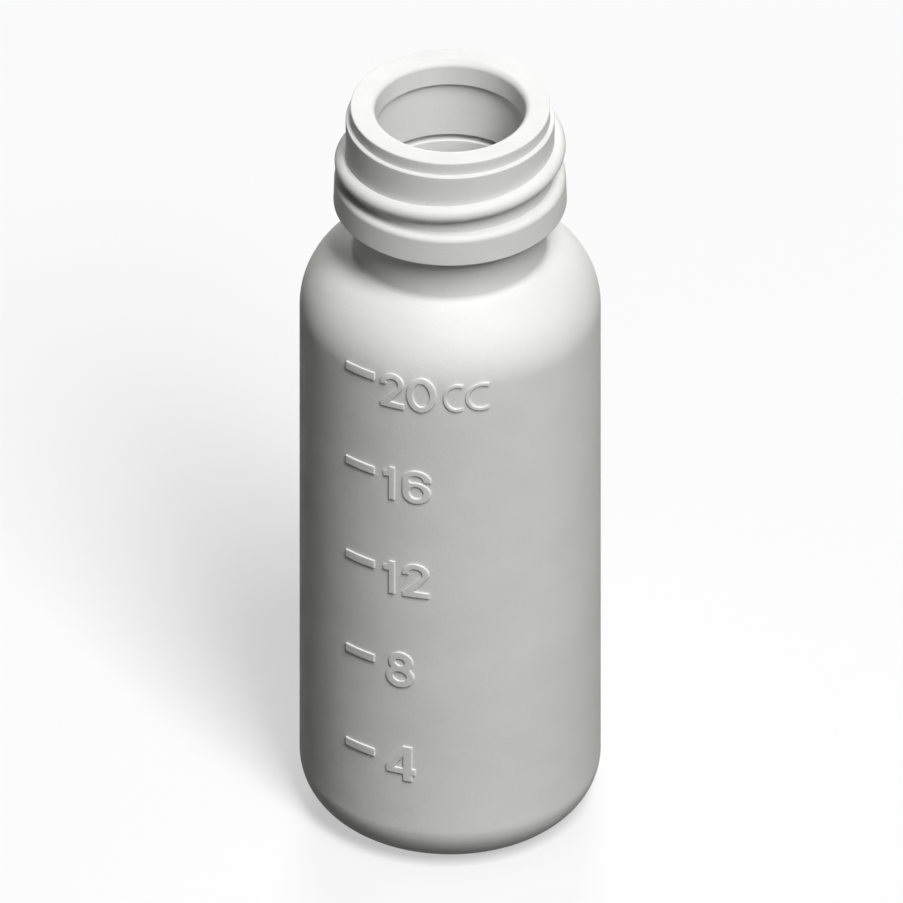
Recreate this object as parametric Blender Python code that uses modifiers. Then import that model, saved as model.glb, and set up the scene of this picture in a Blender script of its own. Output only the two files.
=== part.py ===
"""Round plastic bottle, 20 cc, blown in one piece, with an open threaded neck and a raised scale.

Metres, +Z up. The origin is the middle of the underside. The scale faces -Y.
Run with: blender --background --python part.py
"""
from math import acos, ceil, cos, pi, radians, sin, sqrt, tan

import bmesh
import bpy

MM = 0.001

# Body
BODY_RADIUS = 12.5 * MM
BODY_HEIGHT = 49.2 * MM         # underside to the top of the straight wall
WALL = 0.95 * MM
FLOOR = 1.3 * MM
BASE_ROUND = 4.3 * MM           # outer corner between the wall and the underside
STANDING_WIDTH = 1.7 * MM       # flat ring that the bottle stands on
PUSH_UP = 0.6 * MM              # rise of the underside inside the standing ring
SHOULDER_ROUND = 6.3 * MM

# Neck, measured outwards from the bore and upwards from the shoulder
BORE_RADIUS = 6.7 * MM
NECK_WALL = 1.3 * MM
NECK_WAIST = 4.62 * MM          # shoulder to the underside of the ring
NECK_FOOT_ROUND = 0.5 * MM
THROAT_ROUND = 0.5 * MM         # inner edge where the bore opens into the body
FINISH_WALL = 1.98 * MM         # wall behind the thread
FINISH_HEIGHT = 5.53 * MM       # ring to the step under the lip
RING_WIDTH = 1.02 * MM          # how far the ring stands out from the threaded wall
RING_HEIGHT = 2.71 * MM
RING_ROUND = 0.5 * MM
RING_DRAFT = radians(2.0)
LIP_STEP = 0.38 * MM
LIP_HEIGHT = 1.2 * MM

# Mouth and bore
MOUTH_LIP = 0.45 * MM           # how far the lip inside the mouth stands in from the bore
MOUTH_LENGTH = 2.26 * MM
RIM_ROUND = 0.5 * MM
GROOVE_DROP = 0.88 * MM         # top of the ring to the top of the groove in the bore
GROOVE_WIDTH = 0.6 * MM
GROOVE_DEPTH = 0.9 * MM

# Thread, one right-hand start that rises out of the ring
THREAD_PITCH = 3.175 * MM
THREAD_RISE = 0.92 * MM
THREAD_SECTION = 0.7 * MM       # radius of the rounded ridge
THREAD_ENTRY = radians(11.0)    # where the ridge leaves the ring, from +X towards +Y
THREAD_TOP_GAP = 1.75 * MM      # middle of the ridge's end to the step under the lip
THREAD_LEAD_IN = radians(25.0)  # length of the ridge that is still inside the ring
THREAD_RUN_OUT = radians(40.0)  # length over which the ridge sinks into the wall
THREAD_SUNK = 0.05 * MM         # how far its end lies below the wall

# Scale
RELIEF = 0.15 * MM              # how far the marks stand out
RELIEF_ROOT = 0.4 * MM          # how far they reach into the wall
DASH_LEFT = 0.36 * MM
DASH_LENGTH = 2.9 * MM
DASH_HEIGHT = 0.75 * MM
FIGURES_LEFT = 3.84 * MM
LEVEL_OVERRUN = 0.8 * MM        # how far a mark's level may lie above the straight wall
CUBIC_CENTIMETRE = 1.0e-6
# Contents in cc, the figures, and how far their baseline lies below the mark's level
SCALE = (
    (4, "4", 2.10 * MM),
    (8, "8", 2.22 * MM),
    (12, "12", 2.41 * MM),
    (16, "16", 2.41 * MM),
    (20, "20cc", 2.61 * MM),
)

# Facets
TURN_STEPS = 64
ARC_TOLERANCE = 0.025 * MM      # how far a facet may lie inside its arc in a turned profile
FIGURE_TOLERANCE = 0.015 * MM   # the same in the figures
DOME_STEPS = 4
THREAD_STEP = radians(7.5)
THREAD_BEVEL = 3
MERGE = 0.001 * MM
CRISP_ANGLE = radians(25.0)     # edges sharper than this are shaded crisp

# Derived sizes
inner_radius = BODY_RADIUS - WALL
corner_centre = BODY_RADIUS - BASE_ROUND
corner_inner = BASE_ROUND - WALL
push_up_radius = corner_centre - STANDING_WIDTH
shoulder_centre = BODY_RADIUS - SHOULDER_ROUND
shoulder_inner = SHOULDER_ROUND - WALL
neck_radius = BORE_RADIUS + NECK_WALL
finish_radius = BORE_RADIUS + FINISH_WALL
lip_radius = finish_radius - LIP_STEP
mouth_radius = BORE_RADIUS - MOUTH_LIP
ring_radius = finish_radius + RING_WIDTH
groove_radius = BORE_RADIUS + GROOVE_DEPTH


def steps_for(radius, sweep, tolerance):
    """Number of facets that keep an arc within the tolerance."""
    half_facet = acos(max(1.0 - tolerance / radius, 0.0))
    return max(ceil(abs(sweep) / (2 * half_facet)), 1)


def arc(centre, radii, start, end, tolerance):
    """Points of an ellipse from one angle to another, in radians, both ends included."""
    steps = steps_for(sqrt(radii[0] * radii[1]), end - start, tolerance)
    points = []
    for step in range(steps + 1):
        angle = start + (end - start) * step / steps
        points.append((centre[0] + radii[0] * cos(angle), centre[1] + radii[1] * sin(angle)))
    return points


def turned_arc(centre, radius, start, end):
    """Points of a circle in a turned profile."""
    return arc(centre, (radius, radius), start, end, ARC_TOLERANCE)


def shoulder_end(wall_radius, bulge, blend):
    """Angle at which a shoulder of radius bulge passes into the blend at a wall of wall_radius."""
    reach = (wall_radius + blend - shoulder_centre) / (bulge + blend)
    return acos(min(max(reach, 0.0), 1.0))


neck_foot = BODY_HEIGHT + SHOULDER_ROUND * sin(shoulder_end(neck_radius, SHOULDER_ROUND, 0.0))
ring_bottom = neck_foot + NECK_WAIST
ring_top = ring_bottom + RING_HEIGHT
finish_top = ring_top + FINISH_HEIGHT
rim = finish_top + LIP_HEIGHT
groove_top = ring_top - GROOVE_DROP
groove_bottom = groove_top - GROOVE_WIDTH


def underside_dome(rise):
    """Points of the push-up from its edge to the axis, raised by rise."""
    points = []
    for step in range(DOME_STEPS + 1):
        share = 1.0 - step / DOME_STEPS
        points.append((push_up_radius * share, rise + PUSH_UP * (1.0 - share * share)))
    return points


def inner_profile():
    """The inside, from the middle of the floor up to the rim."""
    throat = shoulder_end(BORE_RADIUS, shoulder_inner, THROAT_ROUND)
    throat_height = BODY_HEIGHT + (shoulder_inner + THROAT_ROUND) * sin(throat)
    points = list(reversed(underside_dome(FLOOR)))
    points += turned_arc((corner_centre, FLOOR + corner_inner), corner_inner, -pi / 2, 0.0)
    points += turned_arc((shoulder_centre, BODY_HEIGHT), shoulder_inner, 0.0, throat)
    points += turned_arc((BORE_RADIUS + THROAT_ROUND, throat_height), THROAT_ROUND, pi + throat, pi)
    points += [
        (BORE_RADIUS, groove_bottom),
        (groove_radius, groove_bottom),
        (groove_radius, groove_top),
        (BORE_RADIUS, groove_top),
        (BORE_RADIUS, rim - MOUTH_LENGTH),
        (mouth_radius, rim - MOUTH_LENGTH),
    ]
    points += turned_arc((mouth_radius + RIM_ROUND, rim - RIM_ROUND), RIM_ROUND, pi, pi / 2)
    return points


def outer_profile():
    """The outside, from the rim down to the middle of the underside."""
    foot = shoulder_end(neck_radius, SHOULDER_ROUND, NECK_FOOT_ROUND)
    foot_height = BODY_HEIGHT + (SHOULDER_ROUND + NECK_FOOT_ROUND) * sin(foot)
    ring_shoulder = ring_radius - RING_HEIGHT * tan(RING_DRAFT)
    points = [
        (lip_radius, rim),
        (lip_radius, finish_top),
        (finish_radius, finish_top),
        (finish_radius, ring_top),
    ]
    points += turned_arc((ring_shoulder - RING_ROUND, ring_top - RING_ROUND), RING_ROUND, pi / 2, 0.0)
    points += [
        (ring_radius, ring_bottom),
        (neck_radius, ring_bottom),
    ]
    points += turned_arc((neck_radius + NECK_FOOT_ROUND, foot_height), NECK_FOOT_ROUND, pi, pi + foot)
    points += turned_arc((shoulder_centre, BODY_HEIGHT), SHOULDER_ROUND, foot, 0.0)
    points += turned_arc((corner_centre, BASE_ROUND), BASE_ROUND, 0.0, -pi / 2)
    points += underside_dome(0.0)
    return points


def without_repeats(points):
    """The same points, each one kept only where it lies away from the one before."""
    kept = [points[0]]
    for point in points[1:]:
        if abs(point[0] - kept[-1][0]) + abs(point[1] - kept[-1][1]) > MERGE:
            kept.append(point)
    return kept


def turned(name, points, collection, closed=False):
    """A profile in the XZ plane, turned about Z."""
    points = without_repeats(points)
    edges = [(index, index + 1) for index in range(len(points) - 1)]
    if closed:
        edges.append((len(points) - 1, 0))
    mesh = bpy.data.meshes.new(name)
    mesh.from_pydata([(x, 0.0, z) for x, z in points], edges, [])
    piece = bpy.data.objects.new(name, mesh)
    collection.objects.link(piece)
    screw = piece.modifiers.new("turn", "SCREW")
    screw.axis = "Z"
    screw.steps = TURN_STEPS
    screw.render_steps = TURN_STEPS
    screw.use_merge_vertices = True
    screw.merge_threshold = MERGE
    screw.use_smooth_shade = True
    return piece


def mesh_from_curve(curve_object, collection):
    """A mesh object in the place of a curve object, with its caps welded."""
    bpy.context.view_layer.update()
    evaluated = curve_object.evaluated_get(bpy.context.evaluated_depsgraph_get())
    mesh = bpy.data.meshes.new_from_object(evaluated)
    work = bmesh.new()
    work.from_mesh(mesh)
    bmesh.ops.remove_doubles(work, verts=work.verts, dist=MERGE)
    bmesh.ops.recalc_face_normals(work, faces=work.faces)
    work.to_mesh(mesh)
    work.free()
    piece = bpy.data.objects.new(curve_object.name + "_solid", mesh)
    piece.matrix_world = curve_object.matrix_world
    collection.objects.link(piece)
    bpy.data.objects.remove(curve_object)
    return piece


def thread_points():
    """The middle line of the ridge, from inside the ring to its sunk end."""
    crest_centre = finish_radius + THREAD_RISE - THREAD_SECTION
    root_half = sqrt(THREAD_SECTION ** 2 - (finish_radius - crest_centre) ** 2)
    entry_height = ring_top - root_half
    climb = finish_top - THREAD_TOP_GAP - entry_height
    length = 2 * pi * climb / THREAD_PITCH
    sink = THREAD_RISE + THREAD_SUNK
    steps = round((length + THREAD_LEAD_IN) / THREAD_STEP)
    points = []
    for step in range(steps + 1):
        turn = -THREAD_LEAD_IN + (length + THREAD_LEAD_IN) * step / steps
        share = min(max((turn - length + THREAD_RUN_OUT) / THREAD_RUN_OUT, 0.0), 1.0)
        radius = crest_centre - sink * share * share
        angle = THREAD_ENTRY + turn
        height = entry_height + THREAD_PITCH * turn / (2 * pi)
        points.append((radius * cos(angle), radius * sin(angle), height))
    return points


def make_thread(collection):
    """The rounded ridge of the thread as a closed tube."""
    points = thread_points()
    curve = bpy.data.curves.new("thread", "CURVE")
    curve.dimensions = "3D"
    curve.bevel_depth = THREAD_SECTION
    curve.bevel_resolution = THREAD_BEVEL
    curve.use_fill_caps = True
    spline = curve.splines.new("POLY")
    spline.points.add(len(points) - 1)
    for spot, point in zip(spline.points, points):
        spot.co = (*point, 1.0)
    path = bpy.data.objects.new("thread", curve)
    collection.objects.link(path)
    return mesh_from_curve(path, collection)


def swing(centre, radii, start, end):
    """An arc of a figure, with its angles in degrees."""
    return arc(centre, radii, radians(start), radians(end), FIGURE_TOLERANCE / MM)


def oval(centre, radii):
    """A closed ring of points on an ellipse."""
    return swing(centre, radii, 0.0, 360.0)[:-1]


# Figures, in millimetres, each in its own cell with the baseline at 0.
# Every function returns the cell's width and the closed outlines: the outer one, then the holes.

def figure_0():
    return 2.52, [
        oval((1.04, 1.69), (1.04, 1.70)),
        oval((1.05, 1.70), (0.60, 1.18)),
    ]


def figure_1():
    return 1.83, [[
        (1.18, 3.27), (1.18, 0.0), (0.72, 0.0), (0.72, 2.32), (0.45, 2.26),
        (0.25, 2.28), (0.25, 2.74), (0.55, 2.92), (0.77, 3.27),
    ]]


def figure_2():
    outer = swing((0.95, 2.40), (0.95, 0.96), 192.0, -40.0)
    inner = swing((0.97, 2.38), (0.50, 0.50), -32.0, 192.0)
    base = [(0.84, 0.58), (1.92, 0.52), (1.92, 0.0), (0.0, 0.0), (0.0, 0.45)]
    return 2.15, [outer + base + inner]


def figure_4():
    outer = [
        (1.83, 3.46), (2.53, 3.46), (2.53, 1.24), (2.77, 1.24), (2.77, 0.66), (2.53, 0.66),
        (2.53, 0.0), (1.89, 0.0), (1.89, 0.67), (0.51, 0.67), (0.51, 1.36),
    ]
    return 3.0, [outer, [(1.89, 2.48), (1.17, 1.21), (1.89, 1.21)]]


def figure_6():
    top = (1.02, 2.34)
    hook = swing(top, (1.02, 0.96), -8.0, 180.0)
    bowl = swing((1.01, 1.04), (1.01, 1.04), 195.0, 450.0)
    under_hook = swing(top, (0.54, 0.48), 215.0, -14.0)
    return 2.15, [hook + bowl + under_hook, oval((1.02, 1.10), (0.52, 0.62))]


def figure_8():
    low = swing((1.60, 1.04), (1.10, 1.04), 145.0, 395.0)
    high = swing((1.66, 2.54), (0.94, 0.98), -40.0, 220.0)
    return 3.0, [
        low + high,
        oval((1.60, 1.09), (0.55, 0.49)),
        oval((1.62, 2.51), (0.385, 0.36)),
    ]


def letter_c():
    middle = (0.80, 1.575)
    outer = swing(middle, (0.80, 1.375), 68.0, 292.0)
    inner = swing(middle, (0.62, 1.095), 297.0, 63.0)
    return 1.28, [outer + inner]


FIGURES = {
    "0": figure_0,
    "1": figure_1,
    "2": figure_2,
    "4": figure_4,
    "6": figure_6,
    "8": figure_8,
    "c": letter_c,
}


def fill_level(volume):
    """Height of the liquid above the underside when the bottle holds this volume."""
    corner = 2 * pi * (corner_centre * corner_inner ** 2 * (1 - pi / 4) + corner_inner ** 3 / 6)
    dome = pi * PUSH_UP * push_up_radius ** 2 / 2
    return FLOOR + (volume + corner + dome) / (pi * inner_radius ** 2)


def scale_outlines():
    """Every outline of the scale in the XZ plane, one list for each mark or figure."""
    shapes = []
    for volume, label, drop in SCALE:
        level = fill_level(volume * CUBIC_CENTIMETRE)
        if level > BODY_HEIGHT + LEVEL_OVERRUN:
            continue
        low, high = level - DASH_HEIGHT / 2, level + DASH_HEIGHT / 2
        right = DASH_LEFT + DASH_LENGTH
        shapes.append([[(DASH_LEFT, low), (right, low), (right, high), (DASH_LEFT, high)]])
        left = FIGURES_LEFT
        for character in label:
            width, outlines = FIGURES[character]()
            shapes.append([
                [(left + x * MM, level - drop + z * MM) for x, z in outline] for outline in outlines
            ])
            left += width * MM
    return shapes


def prism(outlines, collection):
    """Flat outlines, with holes, drawn out along Y in front of the axis."""
    front = BODY_RADIUS + 2 * RELIEF
    curve = bpy.data.curves.new("figure", "CURVE")
    curve.dimensions = "2D"
    curve.fill_mode = "BOTH"
    curve.extrude = front / 2
    for outline in outlines:
        spline = curve.splines.new("POLY")
        spline.points.add(len(outline) - 1)
        spline.use_cyclic_u = True
        for spot, (x, z) in zip(spline.points, outline):
            spot.co = (x, z, 0.0, 1.0)
    figure = bpy.data.objects.new("figure", curve)
    figure.location = (0.0, -front / 2, 0.0)
    figure.rotation_euler = (pi / 2, 0.0, 0.0)
    collection.objects.link(figure)
    return mesh_from_curve(figure, collection)


def joined(name, pieces, collection):
    """One mesh object from several, with their places kept in the mesh."""
    work = bmesh.new()
    for piece in pieces:
        mesh = piece.data
        mesh.transform(piece.matrix_world)
        work.from_mesh(mesh)
        bpy.data.objects.remove(piece)
    mesh = bpy.data.meshes.new(name)
    work.to_mesh(mesh)
    work.free()
    whole = bpy.data.objects.new(name, mesh)
    collection.objects.link(whole)
    return whole


def relief_band(collection):
    """A thin turned shell over the wall and shoulder, which gives the marks their height."""
    outer = BODY_RADIUS + RELIEF
    root = BODY_RADIUS - RELIEF_ROOT
    top = shoulder_end(neck_radius, SHOULDER_ROUND, NECK_FOOT_ROUND)
    middle = (shoulder_centre, BODY_HEIGHT)
    points = turned_arc(middle, SHOULDER_ROUND + RELIEF, top, 0.0)
    points += [(outer, BASE_ROUND), (root, BASE_ROUND)]
    points += turned_arc(middle, SHOULDER_ROUND - RELIEF_ROOT, 0.0, top)
    return turned("relief_band", points, collection, closed=True)


def combine(piece, other, operation):
    """Join another solid to a piece, or keep only what both hold."""
    modifier = piece.modifiers.new(operation.lower() + "_" + other.name, "BOOLEAN")
    modifier.operation = operation
    modifier.solver = "EXACT"
    modifier.object = other


def make_scale(collection):
    """All marks and figures of the scale as raised pads that are rooted in the wall."""
    figures = [prism(outlines, collection) for outlines in scale_outlines()]
    scale = joined("scale", figures, collection)
    combine(scale, relief_band(collection), "INTERSECT")
    return scale


def shade_crisp(piece):
    """Shade a piece smooth, with its sharper edges kept crisp, by geometry nodes."""
    group = bpy.data.node_groups.new("crisp_edges", "GeometryNodeTree")
    group.interface.new_socket("Geometry", in_out="INPUT", socket_type="NodeSocketGeometry")
    group.interface.new_socket("Geometry", in_out="OUTPUT", socket_type="NodeSocketGeometry")
    start = group.nodes.new("NodeGroupInput")
    end = group.nodes.new("NodeGroupOutput")
    angle = group.nodes.new("GeometryNodeInputMeshEdgeAngle")
    steep = group.nodes.new("FunctionNodeCompare")
    steep.operation = "GREATER_THAN"
    steep.inputs["B"].default_value = CRISP_ANGLE
    shade = group.nodes.new("GeometryNodeSetShadeSmooth")
    shade.domain = "EDGE"
    shade.inputs["Shade Smooth"].default_value = False
    group.links.new(start.outputs[0], shade.inputs["Geometry"])
    group.links.new(angle.outputs["Unsigned Angle"], steep.inputs["A"])
    group.links.new(steep.outputs[0], shade.inputs["Selection"])
    group.links.new(shade.outputs["Geometry"], end.inputs[0])
    modifier = piece.modifiers.new("crisp_edges", "NODES")
    modifier.node_group = group


def plastic():
    """Matt off-white moulded plastic."""
    material = bpy.data.materials.new("bottle_plastic")
    material.use_nodes = True
    shader = material.node_tree.nodes["Principled BSDF"]
    shader.inputs["Base Color"].default_value = (0.74, 0.74, 0.73, 1.0)
    shader.inputs["Roughness"].default_value = 0.45
    shader.inputs["Metallic"].default_value = 0.0
    return material


def new_collection(name):
    collection = bpy.data.collections.new(name)
    bpy.context.scene.collection.children.link(collection)
    return collection


def main():
    for item in list(bpy.data.objects):
        bpy.data.objects.remove(item)
    parts = new_collection("round_plastic_bottle")
    cutters = new_collection("cutters")
    bottle = turned("bottle", inner_profile() + outer_profile(), parts)
    bottle.data.materials.append(plastic())
    combine(bottle, make_thread(cutters), "UNION")
    combine(bottle, make_scale(cutters), "UNION")
    shade_crisp(bottle)
    for helper in cutters.objects:
        helper.hide_render = True
        helper.display_type = "WIRE"


main()
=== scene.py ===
"""The round plastic bottle, dressed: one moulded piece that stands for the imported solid.

Metres, +Z up. The origin is the middle of the underside, and the raised scale faces -Y.
"""

from math import acos, atan2, ceil, cos, hypot, pi, radians, sin, sqrt, tan

import bmesh
import bpy
import numpy as np
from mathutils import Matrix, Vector


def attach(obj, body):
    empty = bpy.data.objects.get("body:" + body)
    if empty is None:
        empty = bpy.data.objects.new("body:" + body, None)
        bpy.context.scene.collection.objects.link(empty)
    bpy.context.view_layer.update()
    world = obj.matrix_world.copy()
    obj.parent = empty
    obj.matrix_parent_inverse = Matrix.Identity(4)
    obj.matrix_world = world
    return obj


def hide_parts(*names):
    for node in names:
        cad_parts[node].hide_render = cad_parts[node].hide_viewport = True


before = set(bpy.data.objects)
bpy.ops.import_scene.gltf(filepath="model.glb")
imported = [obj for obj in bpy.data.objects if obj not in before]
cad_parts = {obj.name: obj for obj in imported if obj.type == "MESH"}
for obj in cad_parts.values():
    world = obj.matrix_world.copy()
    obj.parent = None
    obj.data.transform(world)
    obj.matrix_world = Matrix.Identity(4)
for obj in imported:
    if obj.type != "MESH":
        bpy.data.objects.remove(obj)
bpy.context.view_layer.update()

MM = 0.001

# Body
BODY_RADIUS = 12.5 * MM
BODY_HEIGHT = 49.2 * MM
WALL = 0.95 * MM
FLOOR = 1.3 * MM
BASE_ROUND = 4.3 * MM
STANDING_WIDTH = 1.7 * MM
PUSH_UP = 0.6 * MM
SHOULDER_ROUND = 6.3 * MM

# Neck
BORE_RADIUS = 6.7 * MM
NECK_WALL = 1.3 * MM
NECK_WAIST = 4.62 * MM
NECK_FOOT_ROUND = 0.5 * MM
THROAT_ROUND = 0.5 * MM
FINISH_WALL = 1.98 * MM
FINISH_HEIGHT = 5.53 * MM
RING_WIDTH = 1.02 * MM
RING_HEIGHT = 2.71 * MM
RING_ROUND = 0.5 * MM
RING_DRAFT = radians(2.0)
LIP_STEP = 0.38 * MM
LIP_HEIGHT = 1.2 * MM

# Mouth and bore
MOUTH_LIP = 0.45 * MM
MOUTH_LENGTH = 2.26 * MM
RIM_ROUND = 0.5 * MM
GROOVE_DROP = 0.88 * MM
GROOVE_WIDTH = 0.6 * MM
GROOVE_DEPTH = 0.9 * MM

# Moulded edges
OUTER_EDGE = 0.11 * MM
INNER_EDGE = 0.07 * MM

# Thread
THREAD_PITCH = 3.175 * MM
THREAD_RISE = 0.92 * MM
THREAD_SECTION = 0.7 * MM
THREAD_ENTRY = radians(11.0)
THREAD_TOP_GAP = 1.75 * MM
THREAD_LEAD_IN = radians(25.0)
THREAD_RUN_OUT = radians(40.0)
THREAD_SUNK = 0.05 * MM
THREAD_STEP = radians(3.0)
THREAD_SIDES = 40

# Scale
RELIEF = 0.15 * MM
RELIEF_ROOT = 0.3 * MM
RELIEF_EDGE = 0.035 * MM
RELIEF_EDGE_STEPS = 1
DASH_LEFT = 0.36 * MM
DASH_LENGTH = 2.9 * MM
DASH_HEIGHT = 0.75 * MM
FIGURES_LEFT = 3.84 * MM
CUBIC_CENTIMETRE = 1.0e-6

# Each mark of the scale: its volume in cc, its label, and the drop from its level to the baseline
SCALE = (
    (4, "4", 2.10 * MM),
    (8, "8", 2.22 * MM),
    (12, "12", 2.41 * MM),
    (16, "16", 2.41 * MM),
    (20, "20cc", 2.61 * MM),
)

# Facets. An arc's facets stay within its tolerance, and what is shorter than a sliver is dissolved.
TURN_STEPS = 192
DOME_STEPS = 12
FEWEST_STEPS = 3
ARC_TOLERANCE = 0.004 * MM
FIGURE_TOLERANCE = 0.003 * MM
SLICE = 0.25 * MM
MERGE = 0.0005 * MM
SLIVER = 0.003 * MM
SEAM_SLIVER = 0.001 * MM

# Shading: a sharper edge than this stays crisp, and a mark's face that leans less is its top
CRISP_ANGLE = radians(30.0)
MARK_TOP_LEAN = radians(9.0)
ON_AXIS = 1e-9

# Plastic. Noise scales are per metre, on the bottle's own coordinates.
DARKER_PLASTIC = (0.725, 0.725, 0.715, 1.0)
LIGHTER_PLASTIC = (0.755, 0.755, 0.745, 1.0)
CLOUDS = {"Scale": 110.0, "Detail": 2.0}
CLOUD_RANGE = (0.35, 0.65)
BODY_ROUGHNESS = 0.66
NECK_ROUGHNESS = 0.56
ROUGHNESS_SPREAD = 0.04
BLOTCHES = {"Scale": 420.0, "Detail": 3.0}
BLOTCH_RANGE = (0.3, 0.7)
RIPPLE = {"Scale": 260.0, "Detail": 1.0}
GRAIN = {"Scale": 2600.0, "Detail": 2.0}
GRAIN_SHARE = 0.3
RELIEF_OF_TEXTURE = 0.06 * MM
PLASTIC_SHINE = 0.25
GLOW = 0.3
GLOW_DEPTH = 0.6 * MM

# Camera, from the photograph: an orthographic view from a corner
CAMERA_AZIMUTH = radians(45.0)
CAMERA_ELEVATION = radians(35.264)
FRAME_WIDTH = 74.94 * MM
AIM_HEIGHT = 34.19 * MM
AIM_RIGHT = 0.112 * MM
CAMERA_DISTANCE = 0.4

# Each soft box: its name, degrees to the camera's right, degrees up, and watts
SOFT_BOXES = (
    ("key", 24.0, 56.0, 71.5),
    ("back", 180.0, 18.0, 32.0),
)
BOX_DISTANCE = 2.4
BOX_WIDTH = 0.7
BOX_HEIGHT = 1.5
WORLD_STRENGTH = 0.03

# Floor
FLOOR_REACH = 3.0
FLOOR_TONE = 0.82
FLOOR_THROWS = 0.04
FLOOR_WHITE = 0.5
FLOOR_ROUGHNESS = 0.9
FLOOR_SHINE = 0.1
WHITE = (1.0, 1.0, 1.0, 1.0)

# Derived sizes
inner_radius = BODY_RADIUS - WALL
corner_centre = BODY_RADIUS - BASE_ROUND
corner_inner = BASE_ROUND - WALL
push_up_radius = corner_centre - STANDING_WIDTH
shoulder_centre = BODY_RADIUS - SHOULDER_ROUND
shoulder_inner = SHOULDER_ROUND - WALL
neck_radius = BORE_RADIUS + NECK_WALL
finish_radius = BORE_RADIUS + FINISH_WALL
lip_radius = finish_radius - LIP_STEP
mouth_radius = BORE_RADIUS - MOUTH_LIP
ring_radius = finish_radius + RING_WIDTH
groove_radius = BORE_RADIUS + GROOVE_DEPTH


def shoulder_end(wall_radius, bulge, blend):
    """Angle at which a shoulder of radius bulge passes into the blend to a wall of wall_radius."""
    return acos((wall_radius + blend - shoulder_centre) / (bulge + blend))


neck_foot = BODY_HEIGHT + SHOULDER_ROUND * sin(shoulder_end(neck_radius, SHOULDER_ROUND, 0.0))
ring_bottom = neck_foot + NECK_WAIST
ring_top = ring_bottom + RING_HEIGHT
finish_top = ring_top + FINISH_HEIGHT
rim = finish_top + LIP_HEIGHT
groove_top = ring_top - GROOVE_DROP
groove_bottom = groove_top - GROOVE_WIDTH


# Profile: points (radius, height, outward normal), from the middle of the floor up the inside,
# over the rim and down the outside to the middle of the underside.

def steps_for(radius, sweep, tolerance):
    """Number of facets that keep an arc within the tolerance of the true curve."""
    half_facet = acos(max(1.0 - tolerance / radius, 0.0))
    return max(ceil(abs(sweep) / (2 * half_facet)), FEWEST_STEPS)


def bend(centre, radius, start, end):
    """An arc of the profile. The outside lies to the left of the way it runs."""
    side = -1.0 if end > start else 1.0
    steps = steps_for(radius, end - start, ARC_TOLERANCE)
    points = []
    for step in range(steps + 1):
        angle = start + (end - start) * step / steps
        across, up = cos(angle), sin(angle)
        place = (centre[0] + radius * across, centre[1] + radius * up)
        points.append((*place, side * across, side * up))
    return points


def corner(before, point, after, radius):
    """A rounded corner between two straight runs of the profile."""
    point = Vector(point)
    back = (Vector(before) - point).normalized()
    ahead = (Vector(after) - point).normalized()
    half = back.angle(ahead) / 2
    centre = point + (back + ahead).normalized() * (radius / sin(half))
    first = point + back * (radius / tan(half)) - centre
    last = point + ahead * (radius / tan(half)) - centre
    start = atan2(first.y, first.x)
    turn = (atan2(last.y, last.x) - start + pi) % (2 * pi) - pi
    return bend(centre, radius, start, start + turn)


def corners(run, rounds):
    """The rounded inner corners of a run of points; its two ends only give directions."""
    points = []
    for index, radius in enumerate(rounds, 1):
        points += corner(run[index - 1], run[index], run[index + 1], radius)
    return points


def dome(rise, side):
    """The push-up from its edge to the axis, raised by rise. side is 1 where the outside is above."""
    points = []
    for step in range(DOME_STEPS + 1):
        share = 1.0 - step / DOME_STEPS
        radius = push_up_radius * share
        height = rise + PUSH_UP * (1.0 - share ** 2)
        slope = -2 * PUSH_UP * share / push_up_radius
        length = hypot(slope, 1.0)
        points.append((radius, height, -side * slope / length, side / length))
    return points


def inside_of_bottle():
    """The profile from the middle of the floor to the rounded inner edge of the rim."""
    throat = shoulder_end(BORE_RADIUS, shoulder_inner, THROAT_ROUND)
    throat_height = BODY_HEIGHT + (shoulder_inner + THROAT_ROUND) * sin(throat)
    points = list(reversed(dome(FLOOR, 1.0)))
    points += bend((corner_centre, FLOOR + corner_inner), corner_inner, -pi / 2, 0.0)
    points += bend((shoulder_centre, BODY_HEIGHT), shoulder_inner, 0.0, throat)
    points += bend((BORE_RADIUS + THROAT_ROUND, throat_height), THROAT_ROUND, pi + throat, pi)
    lip_foot = rim - MOUTH_LENGTH
    points += corners(
        [
            (BORE_RADIUS, throat_height),
            (BORE_RADIUS, groove_bottom),
            (groove_radius, groove_bottom),
            (groove_radius, groove_top),
            (BORE_RADIUS, groove_top),
            (BORE_RADIUS, lip_foot),
            (mouth_radius, lip_foot),
            (mouth_radius, rim),
            (lip_radius, rim),
        ],
        [INNER_EDGE] * 6 + [RIM_ROUND],
    )
    return points


def outside_of_bottle():
    """The profile from the outer edge of the rim down to the middle of the underside."""
    foot = shoulder_end(neck_radius, SHOULDER_ROUND, NECK_FOOT_ROUND)
    foot_height = BODY_HEIGHT + (SHOULDER_ROUND + NECK_FOOT_ROUND) * sin(foot)
    ring_shoulder = ring_radius - RING_HEIGHT * tan(RING_DRAFT)
    points = corners(
        [
            (mouth_radius, rim),
            (lip_radius, rim),
            (lip_radius, finish_top),
            (finish_radius, finish_top),
            (finish_radius, ring_top),
            (ring_shoulder, ring_top),
            (ring_radius, ring_bottom),
            (neck_radius, ring_bottom),
            (neck_radius, foot_height),
        ],
        [OUTER_EDGE, INNER_EDGE, OUTER_EDGE, INNER_EDGE, RING_ROUND, OUTER_EDGE, INNER_EDGE],
    )
    points += bend((neck_radius + NECK_FOOT_ROUND, foot_height), NECK_FOOT_ROUND, pi, pi + foot)
    points += bend((shoulder_centre, BODY_HEIGHT), SHOULDER_ROUND, foot, 0.0)
    points += bend((corner_centre, BASE_ROUND), BASE_ROUND, 0.0, -pi / 2)
    points += dome(0.0, -1.0)
    return points


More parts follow.
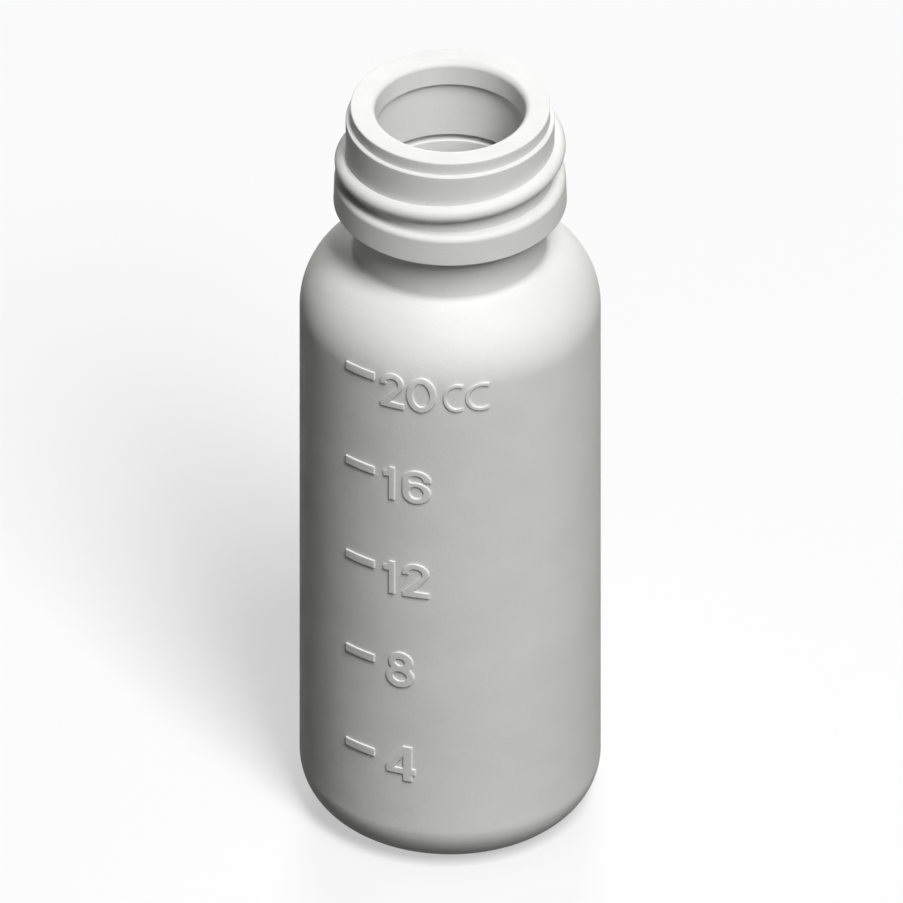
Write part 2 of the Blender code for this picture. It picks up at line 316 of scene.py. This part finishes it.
def without_repeats(points):
    """The profile without points that lie on the one before them."""
    kept = [points[0]]
    for point in points[1:]:
        if hypot(point[0] - kept[-1][0], point[1] - kept[-1][1]) > MERGE:
            kept.append(point)
    return kept


# Node trees

class Wiring:
    """Adds nodes to a tree. An input is given another node's output or a plain value."""

    def __init__(self, tree):
        self.tree = tree

    def plug(self, socket, value):
        if isinstance(value, bpy.types.NodeSocket):
            self.tree.links.new(value, socket)
        else:
            socket.default_value = value

    def add(self, kind, inputs=None, **settings):
        node = self.tree.nodes.new(kind)
        for name, value in settings.items():
            setattr(node, name, value)
        for name, value in (inputs or {}).items():
            self.plug(node.inputs[name], value)
        return node

    def math(self, operation, *values, clamp=False):
        node = self.add("ShaderNodeMath", operation=operation, use_clamp=clamp)
        for socket, value in zip(node.inputs, values):
            self.plug(socket, value)
        return node.outputs[0]

    def leg(self, long_side, other):
        """The third side of a right-angled triangle, from its longest side and one other."""
        squares = [self.math("MULTIPLY", side, side) for side in (long_side, other)]
        return self.math("SQRT", self.math("SUBTRACT", *squares))

    def ramp(self, value, low, high, start=0.0, end=1.0, smooth=True):
        """Carries a value from the range low..high to start..end."""
        node = self.add("ShaderNodeMapRange", {
            "From Min": low, "From Max": high, "To Min": start, "To Max": end,
        })
        node.interpolation_type = "SMOOTHSTEP" if smooth else "LINEAR"
        self.plug(node.inputs["Value"], value)
        return node.outputs["Result"]


SOCKETS = {float: "NodeSocketFloat", int: "NodeSocketInt"}


def shape_tree(name, sizes):
    """A geometry tree with one named input for each size, and a material input."""
    tree = bpy.data.node_groups.new(name, "GeometryNodeTree")
    tree.interface.new_socket("Geometry", in_out="INPUT", socket_type="NodeSocketGeometry")
    for size, value in sizes.items():
        tree.interface.new_socket(size, in_out="INPUT", socket_type=SOCKETS[type(value)])
    tree.interface.new_socket("Material", in_out="INPUT", socket_type="NodeSocketMaterial")
    tree.interface.new_socket("Geometry", in_out="OUTPUT", socket_type="NodeSocketGeometry")
    wiring = Wiring(tree)
    given = wiring.add("NodeGroupInput").outputs
    return wiring, given


def close_tree(wiring, geometry, material):
    """Ends a geometry tree in realized instances with the material on them."""
    real = wiring.add("GeometryNodeRealizeInstances", {"Geometry": geometry})
    painted = wiring.add("GeometryNodeSetMaterial", {"Geometry": real.outputs[0], "Material": material})
    wiring.add("NodeGroupOutput", {"Geometry": painted.outputs[0]})


def grow(name, mesh, wiring, sizes, material):
    """A plain mesh object from a start mesh and a geometry tree."""
    start = bpy.data.objects.new(name, mesh)
    bpy.context.scene.collection.objects.link(start)
    modifier = start.modifiers.new(name, "NODES")
    modifier.node_group = wiring.tree
    values = {**sizes, "Material": material}
    for item in wiring.tree.interface.items_tree:
        if item.in_out == "INPUT" and item.name in values:
            modifier[item.identifier] = values[item.name]
    piece = baked(start, name)
    piece.data.materials.clear()
    piece.data.materials.append(material)
    return piece


def baked(piece, name):
    """A new object with the evaluated mesh of a piece, which it takes the place of."""
    bpy.context.view_layer.update()
    evaluated = piece.evaluated_get(bpy.context.evaluated_depsgraph_get())
    mesh = bpy.data.meshes.new_from_object(evaluated)
    mesh.transform(piece.matrix_world)
    bpy.data.objects.remove(piece)
    mesh.name = name
    result = bpy.data.objects.new(name, mesh)
    bpy.context.scene.collection.objects.link(result)
    return result


def turned_tree(sizes):
    """Turns a row of profile points about Z: a grid is laid out, then each point finds its place.

    A point's row is the turn's step. The half keeps the division clear of the whole numbers.
    """
    wiring, given = shape_tree("turned_body", sizes)
    count, steps = given["Profile points"], given["Turn steps"]
    rows = wiring.math("ADD", steps, 1)
    grid = wiring.add("GeometryNodeMeshGrid", {"Vertices X": rows, "Vertices Y": count})
    index = wiring.add("GeometryNodeInputIndex").outputs[0]
    column = wiring.math("MODULO", index, count)
    row = wiring.math("FLOOR", wiring.math("DIVIDE", wiring.math("ADD", index, 0.5), count))
    profile = wiring.add("GeometryNodeSampleIndex", data_type="FLOAT_VECTOR", domain="POINT")
    wiring.plug(profile.inputs["Geometry"], given["Geometry"])
    wiring.plug(profile.inputs["Value"], wiring.add("GeometryNodeInputPosition").outputs[0])
    wiring.plug(profile.inputs["Index"], column)
    angle = wiring.math("MULTIPLY", wiring.math("DIVIDE", row, steps), 2 * pi)
    place = wiring.add("ShaderNodeVectorRotate", rotation_type="Z_AXIS")
    wiring.plug(place.inputs["Vector"], profile.outputs[0])
    wiring.plug(place.inputs["Angle"], angle)
    moved = wiring.add("GeometryNodeSetPosition", {
        "Geometry": grid.outputs["Mesh"], "Position": place.outputs[0],
    })
    closed = wiring.add("GeometryNodeMergeByDistance", {"Geometry": moved.outputs[0], "Distance": MERGE})
    outward = wiring.add("GeometryNodeFlipFaces", {"Mesh": closed.outputs[0]})
    close_tree(wiring, outward.outputs[0], given["Material"])
    return wiring


def thread_tree(sizes):
    """A round ridge along a helix, whose end sinks into the wall."""
    wiring, given = shape_tree("thread_ridge", sizes)
    length, lead_in, run_out = given["Length"], given["Lead in"], given["Run out"]
    line = wiring.add("GeometryNodeMeshLine", {"Count": given["Points"]})
    index = wiring.add("GeometryNodeInputIndex").outputs[0]
    share = wiring.math("DIVIDE", index, wiring.math("SUBTRACT", given["Points"], 1))
    whole = wiring.math("ADD", length, lead_in)
    turn = wiring.math("SUBTRACT", wiring.math("MULTIPLY", whole, share), lead_in)
    past = wiring.math("SUBTRACT", wiring.math("ADD", turn, run_out), length)
    fade = wiring.math("DIVIDE", past, run_out, clamp=True)
    sink = wiring.math("MULTIPLY", wiring.math("MULTIPLY", fade, fade), given["Sink"])
    radius = wiring.math("SUBTRACT", given["Helix radius"], sink)
    angle = wiring.math("ADD", given["Entry angle"], turn)
    climb = wiring.math("DIVIDE", wiring.math("MULTIPLY", turn, given["Pitch"]), 2 * pi)
    place = wiring.add("ShaderNodeCombineXYZ", {
        "X": wiring.math("MULTIPLY", radius, wiring.math("COSINE", angle)),
        "Y": wiring.math("MULTIPLY", radius, wiring.math("SINE", angle)),
        "Z": wiring.math("ADD", given["Entry height"], climb),
    })
    helix = wiring.add("GeometryNodeSetPosition", {
        "Geometry": line.outputs[0], "Position": place.outputs[0],
    })
    path = wiring.add("GeometryNodeMeshToCurve", {"Mesh": helix.outputs[0]})
    upright = wiring.add("GeometryNodeSetCurveNormal", {"Curve": path.outputs[0]})
    section = wiring.add("GeometryNodeCurvePrimitiveCircle", {
        "Resolution": given["Sides"], "Radius": given["Section radius"],
    })
    ridge = wiring.add("GeometryNodeCurveToMesh", {
        "Curve": upright.outputs[0], "Profile Curve": section.outputs["Curve"], "Fill Caps": True,
    })
    close_tree(wiring, ridge.outputs[0], given["Material"])
    return wiring


def marks_tree(sizes):
    """Repeats flat marks up the scale and lays them on the wall and the shoulder.

    A flat mark's Y is its depth: the wall is 0 and the outside is negative.
    """
    wiring, given = shape_tree("marks_on_wall", sizes)
    spots = wiring.add("GeometryNodeMeshLine", {"Count": given["Count"]})
    step = wiring.add("ShaderNodeCombineXYZ", {"Z": given["Spacing"]})
    wiring.plug(spots.inputs["Offset"], step.outputs[0])
    copies = wiring.add("GeometryNodeInstanceOnPoints", {
        "Points": spots.outputs[0], "Instance": given["Geometry"],
    })
    flat = wiring.add("GeometryNodeRealizeInstances", {"Geometry": copies.outputs[0]})
    spot = wiring.add("ShaderNodeSeparateXYZ")
    wiring.plug(spot.inputs[0], wiring.add("GeometryNodeInputPosition").outputs[0])
    bulge = wiring.math("SUBTRACT", given["Shoulder round"], spot.outputs["Y"])
    over = wiring.math("MAXIMUM", wiring.math("SUBTRACT", spot.outputs["Z"], given["Body height"]), 0.0)
    centre = wiring.math("SUBTRACT", given["Body radius"], given["Shoulder round"])
    radius = wiring.math("ADD", centre, wiring.leg(bulge, over))
    depth = wiring.leg(radius, spot.outputs["X"])
    place = wiring.add("ShaderNodeCombineXYZ", {
        "X": spot.outputs["X"], "Y": wiring.math("MULTIPLY", depth, -1.0), "Z": spot.outputs["Z"],
    })
    laid = wiring.add("GeometryNodeSetPosition", {
        "Geometry": flat.outputs[0], "Position": place.outputs[0],
    })
    close_tree(wiring, laid.outputs[0], given["Material"])
    return wiring


# Figures, in millimetres, each in its own cell with the baseline at 0.
# Every function returns the cell's width and the closed outlines: the outer one, then the holes.

def swing(centre, radii, start, end):
    """An arc of a figure, with its angles in degrees."""
    sweep = radians(end - start)
    steps = steps_for(sqrt(radii[0] * radii[1]), sweep, FIGURE_TOLERANCE / MM)
    points = []
    for step in range(steps + 1):
        angle = radians(start) + sweep * step / steps
        points.append((centre[0] + radii[0] * cos(angle), centre[1] + radii[1] * sin(angle)))
    return points


def oval(centre, radii):
    """A closed ring of points on an ellipse."""
    return swing(centre, radii, 0.0, 360.0)[:-1]


def figure_0():
    return 2.52, [
        oval((1.04, 1.69), (1.04, 1.70)),
        oval((1.05, 1.70), (0.60, 1.18)),
    ]


def figure_1():
    return 1.83, [[
        (1.18, 3.27), (1.18, 0.0), (0.72, 0.0), (0.72, 2.32), (0.45, 2.26),
        (0.25, 2.28), (0.25, 2.74), (0.55, 2.92), (0.77, 3.27),
    ]]


def figure_2():
    outer = swing((0.95, 2.40), (0.95, 0.96), 192.0, -40.0)
    inner = swing((0.97, 2.38), (0.50, 0.50), -32.0, 192.0)
    base = [(0.84, 0.58), (1.92, 0.52), (1.92, 0.0), (0.0, 0.0), (0.0, 0.45)]
    return 2.15, [outer + base + inner]


def figure_4():
    outer = [
        (1.83, 3.46), (2.53, 3.46), (2.53, 1.24), (2.77, 1.24), (2.77, 0.66), (2.53, 0.66),
        (2.53, 0.0), (1.89, 0.0), (1.89, 0.67), (0.51, 0.67), (0.51, 1.36),
    ]
    return 3.0, [outer, [(1.89, 2.48), (1.17, 1.21), (1.89, 1.21)]]


def figure_6():
    top = (1.02, 2.34)
    hook = swing(top, (1.02, 0.96), -8.0, 180.0)
    bowl = swing((1.01, 1.04), (1.01, 1.04), 180.0, 450.0)
    under_hook = swing(top, (0.54, 0.48), 215.0, -14.0)
    return 2.15, [hook + bowl + under_hook, oval((1.02, 1.10), (0.52, 0.62))]


def figure_8():
    low = swing((1.60, 1.04), (1.10, 1.04), 145.0, 395.0)
    high = swing((1.66, 2.54), (0.94, 0.98), -40.0, 220.0)
    return 3.0, [
        low + high,
        oval((1.60, 1.09), (0.55, 0.49)),
        oval((1.62, 2.51), (0.385, 0.36)),
    ]


def letter_c():
    middle = (0.80, 1.575)
    outer = swing(middle, (0.80, 1.375), 68.0, 292.0)
    inner = swing(middle, (0.62, 1.095), 297.0, 63.0)
    return 1.28, [outer + inner]


FIGURES = {
    "0": figure_0,
    "1": figure_1,
    "2": figure_2,
    "4": figure_4,
    "6": figure_6,
    "8": figure_8,
    "c": letter_c,
}


def fill_level(volume):
    """Height of the liquid above the underside when the bottle holds this volume."""
    corner_loss = 2 * pi * (corner_centre * corner_inner ** 2 * (1 - pi / 4) + corner_inner ** 3 / 6)
    dome_loss = pi * PUSH_UP * push_up_radius ** 2 / 2
    return FLOOR + (volume + corner_loss + dome_loss) / (pi * inner_radius ** 2)


def figure_outlines():
    """The outlines of all figures of the scale, one list for each figure, as (x, z)."""
    shapes = []
    for volume, label, drop in SCALE:
        baseline = fill_level(volume * CUBIC_CENTIMETRE) - drop
        left = FIGURES_LEFT
        for character in label:
            width, outlines = FIGURES[character]()
            shapes.append([
                [(left + x * MM, baseline + z * MM) for x, z in outline] for outline in outlines
            ])
            left += width * MM
    return shapes


def dash_outlines():
    """The outline of the lowest dash, in the same form."""
    low = fill_level(SCALE[0][0] * CUBIC_CENTIMETRE) - DASH_HEIGHT / 2
    high = low + DASH_HEIGHT
    right = DASH_LEFT + DASH_LENGTH
    return [[[(DASH_LEFT, low), (right, low), (right, high), (DASH_LEFT, high)]]]


def slice_across(work, axis):
    """Cuts a mesh at even steps along one axis, so that it can follow a curved wall."""
    spots = [vert.co[axis] for vert in work.verts]
    normal = Vector((0.0, 0.0, 0.0))
    normal[axis] = 1.0
    for step in range(ceil(min(spots) / SLICE), ceil(max(spots) / SLICE)):
        everything = work.verts[:] + work.edges[:] + work.faces[:]
        bmesh.ops.bisect_plane(
            work, geom=everything, dist=MERGE, plane_co=normal * (step * SLICE), plane_no=normal
        )


def flat_marks(name, shapes):
    """Flat raised marks with rounded edges, as one mesh. Y is the depth."""
    whole = bmesh.new()
    for outlines in shapes:
        curve = bpy.data.curves.new(name, "CURVE")
        curve.dimensions = "2D"
        curve.fill_mode = "BOTH"
        curve.extrude = (RELIEF + RELIEF_ROOT) / 2 - RELIEF_EDGE
        curve.bevel_depth = RELIEF_EDGE
        curve.bevel_resolution = RELIEF_EDGE_STEPS
        curve.offset = -RELIEF_EDGE
        for outline in outlines:
            spline = curve.splines.new("POLY")
            spline.points.add(len(outline) - 1)
            spline.use_cyclic_u = True
            for spot, (x, z) in zip(spline.points, outline):
                spot.co = (x, z, 0.0, 1.0)
        shape = bpy.data.objects.new(name, curve)
        shape.rotation_euler = (pi / 2, 0.0, 0.0)
        shape.location = (0.0, (RELIEF_ROOT - RELIEF) / 2, 0.0)
        bpy.context.scene.collection.objects.link(shape)
        piece = baked(shape, name)
        whole.from_mesh(piece.data)
        bpy.data.objects.remove(piece)
    bmesh.ops.remove_doubles(whole, verts=whole.verts, dist=MERGE)
    bmesh.ops.recalc_face_normals(whole, faces=whole.faces)
    slice_across(whole, 0)
    slice_across(whole, 2)
    bmesh.ops.dissolve_degenerate(whole, dist=SLIVER, edges=whole.edges)
    mesh = bpy.data.meshes.new(name)
    whole.to_mesh(mesh)
    whole.free()
    return mesh


# Pieces

def turned_body(profile, material):
    """The bottle without its thread and marks: the profile turned about Z."""
    mesh = bpy.data.meshes.new("profile")
    mesh.from_pydata([(radius, 0.0, height) for radius, height, _, _ in profile], [], [])
    sizes = {"Profile points": len(profile), "Turn steps": TURN_STEPS}
    return grow("turned_body", mesh, turned_tree(sizes), sizes, material)


def thread_ridge(material):
    """The thread, from inside the ring to where it has sunk into the wall."""
    helix_radius = finish_radius + THREAD_RISE - THREAD_SECTION
    root_half = sqrt(THREAD_SECTION ** 2 - (finish_radius - helix_radius) ** 2)
    entry_height = ring_top - root_half
    length = 2 * pi * (finish_top - THREAD_TOP_GAP - entry_height) / THREAD_PITCH
    sizes = {
        "Points": round((length + THREAD_LEAD_IN) / THREAD_STEP),
        "Sides": THREAD_SIDES,
        "Helix radius": helix_radius,
        "Section radius": THREAD_SECTION,
        "Pitch": THREAD_PITCH,
        "Entry angle": THREAD_ENTRY,
        "Entry height": entry_height,
        "Length": length,
        "Lead in": THREAD_LEAD_IN,
        "Run out": THREAD_RUN_OUT,
        "Sink": THREAD_RISE + THREAD_SUNK,
    }
    return grow("thread_ridge", bpy.data.meshes.new("thread_ridge"), thread_tree(sizes), sizes, material)


def marks_on_wall(name, shapes, count, spacing, material):
    """Flat marks laid on the wall, repeated upwards count times."""
    sizes = {
        "Count": count,
        "Spacing": spacing,
        "Body radius": BODY_RADIUS,
        "Body height": BODY_HEIGHT,
        "Shoulder round": SHOULDER_ROUND,
    }
    return grow(name, flat_marks(name, shapes), marks_tree(sizes), sizes, material)


def raised_scale(material):
    """The dashes and the figures, which stay two pieces until they are moulded on."""
    volumes = [volume for volume, _, _ in SCALE]
    spacing = fill_level(volumes[1] * CUBIC_CENTIMETRE) - fill_level(volumes[0] * CUBIC_CENTIMETRE)
    dashes = marks_on_wall("scale_dashes", dash_outlines(), len(volumes), spacing, material)
    figures = marks_on_wall("scale_figures", figure_outlines(), 1, spacing, material)
    return [dashes, figures]


def splits_an_edge(vert):
    """Whether a point of a seam only splits an edge that is straight without it."""
    if len(vert.link_edges) != 2:
        return False
    before, after = (edge.other_vert(vert).co for edge in vert.link_edges)
    return (vert.co - before).cross(vert.co - after).length < SEAM_SLIVER * (after - before).length


def moulded_together(body, others, name):
    """One closed skin from the body and what is raised on it."""
    for other in others:
        modifier = body.modifiers.new(other.name, "BOOLEAN")
        modifier.operation = "UNION"
        modifier.solver = "EXACT"
        modifier.material_mode = "TRANSFER"
        modifier.object = other
    whole = baked(body, name)
    for other in others:
        bpy.data.objects.remove(other)
    seams = bmesh.new()
    seams.from_mesh(whole.data)
    bmesh.ops.dissolve_degenerate(seams, dist=SEAM_SLIVER, edges=seams.edges)
    splits = [vert for vert in seams.verts if splits_an_edge(vert)]
    bmesh.ops.dissolve_verts(seams, verts=splits)
    seams.to_mesh(whole.data)
    seams.free()
    return whole


class TurnedSurface:
    """The true surface of the turned body, which gives the normals at points on it."""

    def __init__(self, profile):
        rows = np.array(profile)
        self.starts, self.ends = rows[:-1], rows[1:]
        self.ways = self.ends[:, :2] - self.starts[:, :2]
        self.lengths = (self.ways ** 2).sum(1)

    def nearest_run(self, point):
        offsets = point - self.starts[:, :2]
        share = np.clip((offsets * self.ways).sum(1) / self.lengths, 0.0, 1.0)
        gaps = self.ways * share[:, None] - offsets
        return int(np.argmin((gaps ** 2).sum(1)))

    def normals(self, corners_of_face):
        """Normals (across, up) at the corners of one face, which are given as (radius, height)."""
        run = self.nearest_run(corners_of_face.mean(0))
        offsets = corners_of_face - self.starts[run, :2]
        share = np.clip(offsets @ self.ways[run] / self.lengths[run], 0.0, 1.0)[:, None]
        return self.starts[run, 2:] * (1.0 - share) + self.ends[run, 2:] * share


def mark_top_normals(corners_of_face):
    """The same for the top of a raised mark, which follows the wall and the shoulder."""
    over = np.maximum(corners_of_face[:, 1] - BODY_HEIGHT, 0.0)
    return np.stack([corners_of_face[:, 0] - shoulder_centre, over], 1)


def smooth_like_the_mould(piece, profile, body_material, mark_label):
    """Gives each face corner the normal of the true surface under it, so that facets don't show.

    A corner whose normal is left at zero keeps the one that Blender works out.
    """
    mesh = piece.data
    mesh.shade_smooth()
    mesh.set_sharp_from_angle(angle=CRISP_ANGLE)
    body_index = mesh.materials.find(body_material.name)
    mark_index = mesh.materials.find(mark_label.name)
    surface = TurnedSurface(profile)
    normals = np.zeros((len(mesh.loops), 3))
    for face in mesh.polygons:
        if face.material_index not in (body_index, mark_index):
            continue
        is_mark = face.material_index == mark_index
        spots = np.array([mesh.vertices[index].co for index in face.vertices])
        reach = np.hypot(spots[:, 0], spots[:, 1])
        around = spots[:, :2] / np.maximum(reach, ON_AXIS)[:, None]
        flat = np.stack([reach, spots[:, 2]], 1)
        lean = mark_top_normals(flat) if is_mark else surface.normals(flat)
        lean /= np.linalg.norm(lean, axis=1)[:, None]
        true = np.column_stack([around * lean[:, :1], lean[:, 1]])
        if is_mark and true.mean(0) @ np.array(face.normal) < cos(MARK_TOP_LEAN):
            continue
        normals[face.loop_start:face.loop_start + face.loop_total] = true
    mesh.normals_split_custom_set(normals.tolist())


def keep_first_material(piece):
    """The labels of the thread and the marks have done their work, and all is one plastic."""
    for face in piece.data.polygons:
        face.material_index = 0
    while len(piece.data.materials) > 1:
        piece.data.materials.pop()


# Finishes

def noise(wiring, place, pattern):
    """The value of a noise pattern, which is given by its Scale and Detail."""
    return wiring.add("ShaderNodeTexNoise", {"Vector": place, **pattern}).outputs[0]


def moulded_plastic():
    """Matt off-white moulded plastic that lets a little light through."""
    material = bpy.data.materials.new("moulded_plastic")
    material.use_nodes = True
    wiring = Wiring(material.node_tree)
    shader = material.node_tree.nodes["Principled BSDF"]
    shader.inputs["Specular IOR Level"].default_value = PLASTIC_SHINE
    shader.inputs["Subsurface Weight"].default_value = GLOW
    shader.inputs["Subsurface Radius"].default_value = (1.0, 1.0, 1.0)
    shader.inputs["Subsurface Scale"].default_value = GLOW_DEPTH
    place = wiring.add("ShaderNodeTexCoord").outputs["Object"]
    height = wiring.add("ShaderNodeSeparateXYZ", {"Vector": place}).outputs["Z"]

    tone = wiring.add("ShaderNodeMix", data_type="RGBA")
    wiring.plug(tone.inputs["Factor"], wiring.ramp(noise(wiring, place, CLOUDS), *CLOUD_RANGE))
    tone.inputs["A"].default_value = DARKER_PLASTIC
    tone.inputs["B"].default_value = LIGHTER_PLASTIC
    wiring.plug(shader.inputs["Base Color"], tone.outputs["Result"])

    matt = wiring.ramp(height, neck_foot, ring_bottom, BODY_ROUGHNESS, NECK_ROUGHNESS)
    blotches = noise(wiring, place, BLOTCHES)
    spread = wiring.ramp(blotches, *BLOTCH_RANGE, -ROUGHNESS_SPREAD, ROUGHNESS_SPREAD)
    wiring.plug(shader.inputs["Roughness"], wiring.math("ADD", matt, spread))

    grain = wiring.math("MULTIPLY", noise(wiring, place, GRAIN), GRAIN_SHARE)
    relief = wiring.math("ADD", grain, noise(wiring, place, RIPPLE))
    bump = wiring.add("ShaderNodeBump", {
        "Height": relief, "Strength": 1.0, "Distance": RELIEF_OF_TEXTURE,
    })
    wiring.plug(shader.inputs["Normal"], bump.outputs["Normal"])
    return material


def seen_directly(wiring):
    """1 for the camera, a reflection or a see-through part that looks at it, 0 for the light it throws."""
    rays = wiring.add("ShaderNodeLightPath").outputs
    seen = wiring.math("MAXIMUM", rays["Is Camera Ray"], rays["Is Glossy Ray"])
    return wiring.math("MAXIMUM", seen, rays["Is Transmission Ray"])


def grey(tone):
    return tone, tone, tone, 1.0


def floor_finish():
    """Matt and pale to look at, but darker in the light that it throws back at the bottle."""
    material = bpy.data.materials.new("pale_floor")
    material.use_nodes = True
    wiring = Wiring(material.node_tree)
    shader = material.node_tree.nodes["Principled BSDF"]
    shader.inputs["Roughness"].default_value = FLOOR_ROUGHNESS
    shader.inputs["Specular IOR Level"].default_value = FLOOR_SHINE
    seen = seen_directly(wiring)
    tone = wiring.add("ShaderNodeMix", {"Factor": seen}, data_type="RGBA")
    tone.inputs["A"].default_value = grey(FLOOR_THROWS)
    tone.inputs["B"].default_value = grey(FLOOR_TONE)
    wiring.plug(shader.inputs["Base Color"], tone.outputs["Result"])
    white = wiring.add("ShaderNodeEmission", {"Color": WHITE, "Strength": 1.0})
    lit = wiring.add("ShaderNodeMixShader", {"Fac": wiring.math("MULTIPLY", seen, FLOOR_WHITE)})
    wiring.plug(lit.inputs[1], shader.outputs[0])
    wiring.plug(lit.inputs[2], white.outputs[0])
    wiring.plug(material.node_tree.nodes["Material Output"].inputs["Surface"], lit.outputs[0])
    return material


# Stage

def make_floor():
    mesh = bpy.data.meshes.new("floor")
    work = bmesh.new()
    bmesh.ops.create_grid(work, x_segments=1, y_segments=1, size=FLOOR_REACH)
    work.to_mesh(mesh)
    work.free()
    floor = bpy.data.objects.new("floor", mesh)
    mesh.materials.append(floor_finish())
    bpy.context.scene.collection.objects.link(floor)


def towards(azimuth, elevation):
    """Unit vector from the bottle to a place seen at this azimuth, from -Y towards +X, and elevation."""
    return Vector((sin(azimuth) * cos(elevation), -cos(azimuth) * cos(elevation), sin(elevation)))


def make_camera():
    back = towards(CAMERA_AZIMUTH, CAMERA_ELEVATION)
    right = Vector((cos(CAMERA_AZIMUTH), sin(CAMERA_AZIMUTH), 0.0))
    aim = Vector((0.0, 0.0, AIM_HEIGHT)) + right * AIM_RIGHT
    data = bpy.data.cameras.new("camera")
    data.type = "ORTHO"
    data.ortho_scale = FRAME_WIDTH
    camera = bpy.data.objects.new("camera", data)
    camera.location = aim + back * CAMERA_DISTANCE
    camera.rotation_euler = back.to_track_quat("Z", "Y").to_euler()
    bpy.context.scene.collection.objects.link(camera)
    bpy.context.scene.camera = camera


def soft_box(name, from_camera, elevation, watts):
    """A tall soft box that faces the middle of the bottle, placed in degrees from the camera."""
    direction = towards(CAMERA_AZIMUTH + radians(from_camera), radians(elevation))
    data = bpy.data.lights.new(name, "AREA")
    data.shape = "RECTANGLE"
    data.size = BOX_WIDTH
    data.size_y = BOX_HEIGHT
    data.energy = watts
    light = bpy.data.objects.new(name, data)
    light.location = Vector((0.0, 0.0, rim / 2)) + direction * BOX_DISTANCE
    light.rotation_euler = direction.to_track_quat("Z", "Y").to_euler()
    bpy.context.scene.collection.objects.link(light)


def make_world():
    """Even grey light, with a plain white backdrop where the camera or a reflection sees it."""
    world = bpy.data.worlds.new("studio")
    world.use_nodes = True
    bpy.context.scene.world = world
    wiring = Wiring(world.node_tree)
    background = world.node_tree.nodes["Background"]
    seen = seen_directly(wiring)
    strength = wiring.ramp(seen, 0.0, 1.0, WORLD_STRENGTH, 1.0, smooth=False)
    wiring.plug(background.inputs["Strength"], strength)
    background.inputs["Color"].default_value = WHITE


def make_bottle():
    """The bottle as one skin. The labels only tell the thread's and the marks' faces apart."""
    plastic = moulded_plastic()
    thread_label = bpy.data.materials.new("thread_label")
    mark_label = bpy.data.materials.new("mark_label")
    profile = without_repeats(inside_of_bottle() + outside_of_bottle())
    body = turned_body(profile, plastic)
    raised = [thread_ridge(thread_label)] + raised_scale(mark_label)
    bottle = moulded_together(body, raised, "moulded_bottle")
    smooth_like_the_mould(bottle, profile, plastic, mark_label)
    keep_first_material(bottle)
    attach(bottle, "root")
    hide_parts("bottle")


def main():
    make_bottle()
    make_floor()
    make_camera()
    make_world()
    for box in SOFT_BOXES:
        soft_box(*box)
    bpy.context.scene.view_settings.view_transform = "Standard"


main()
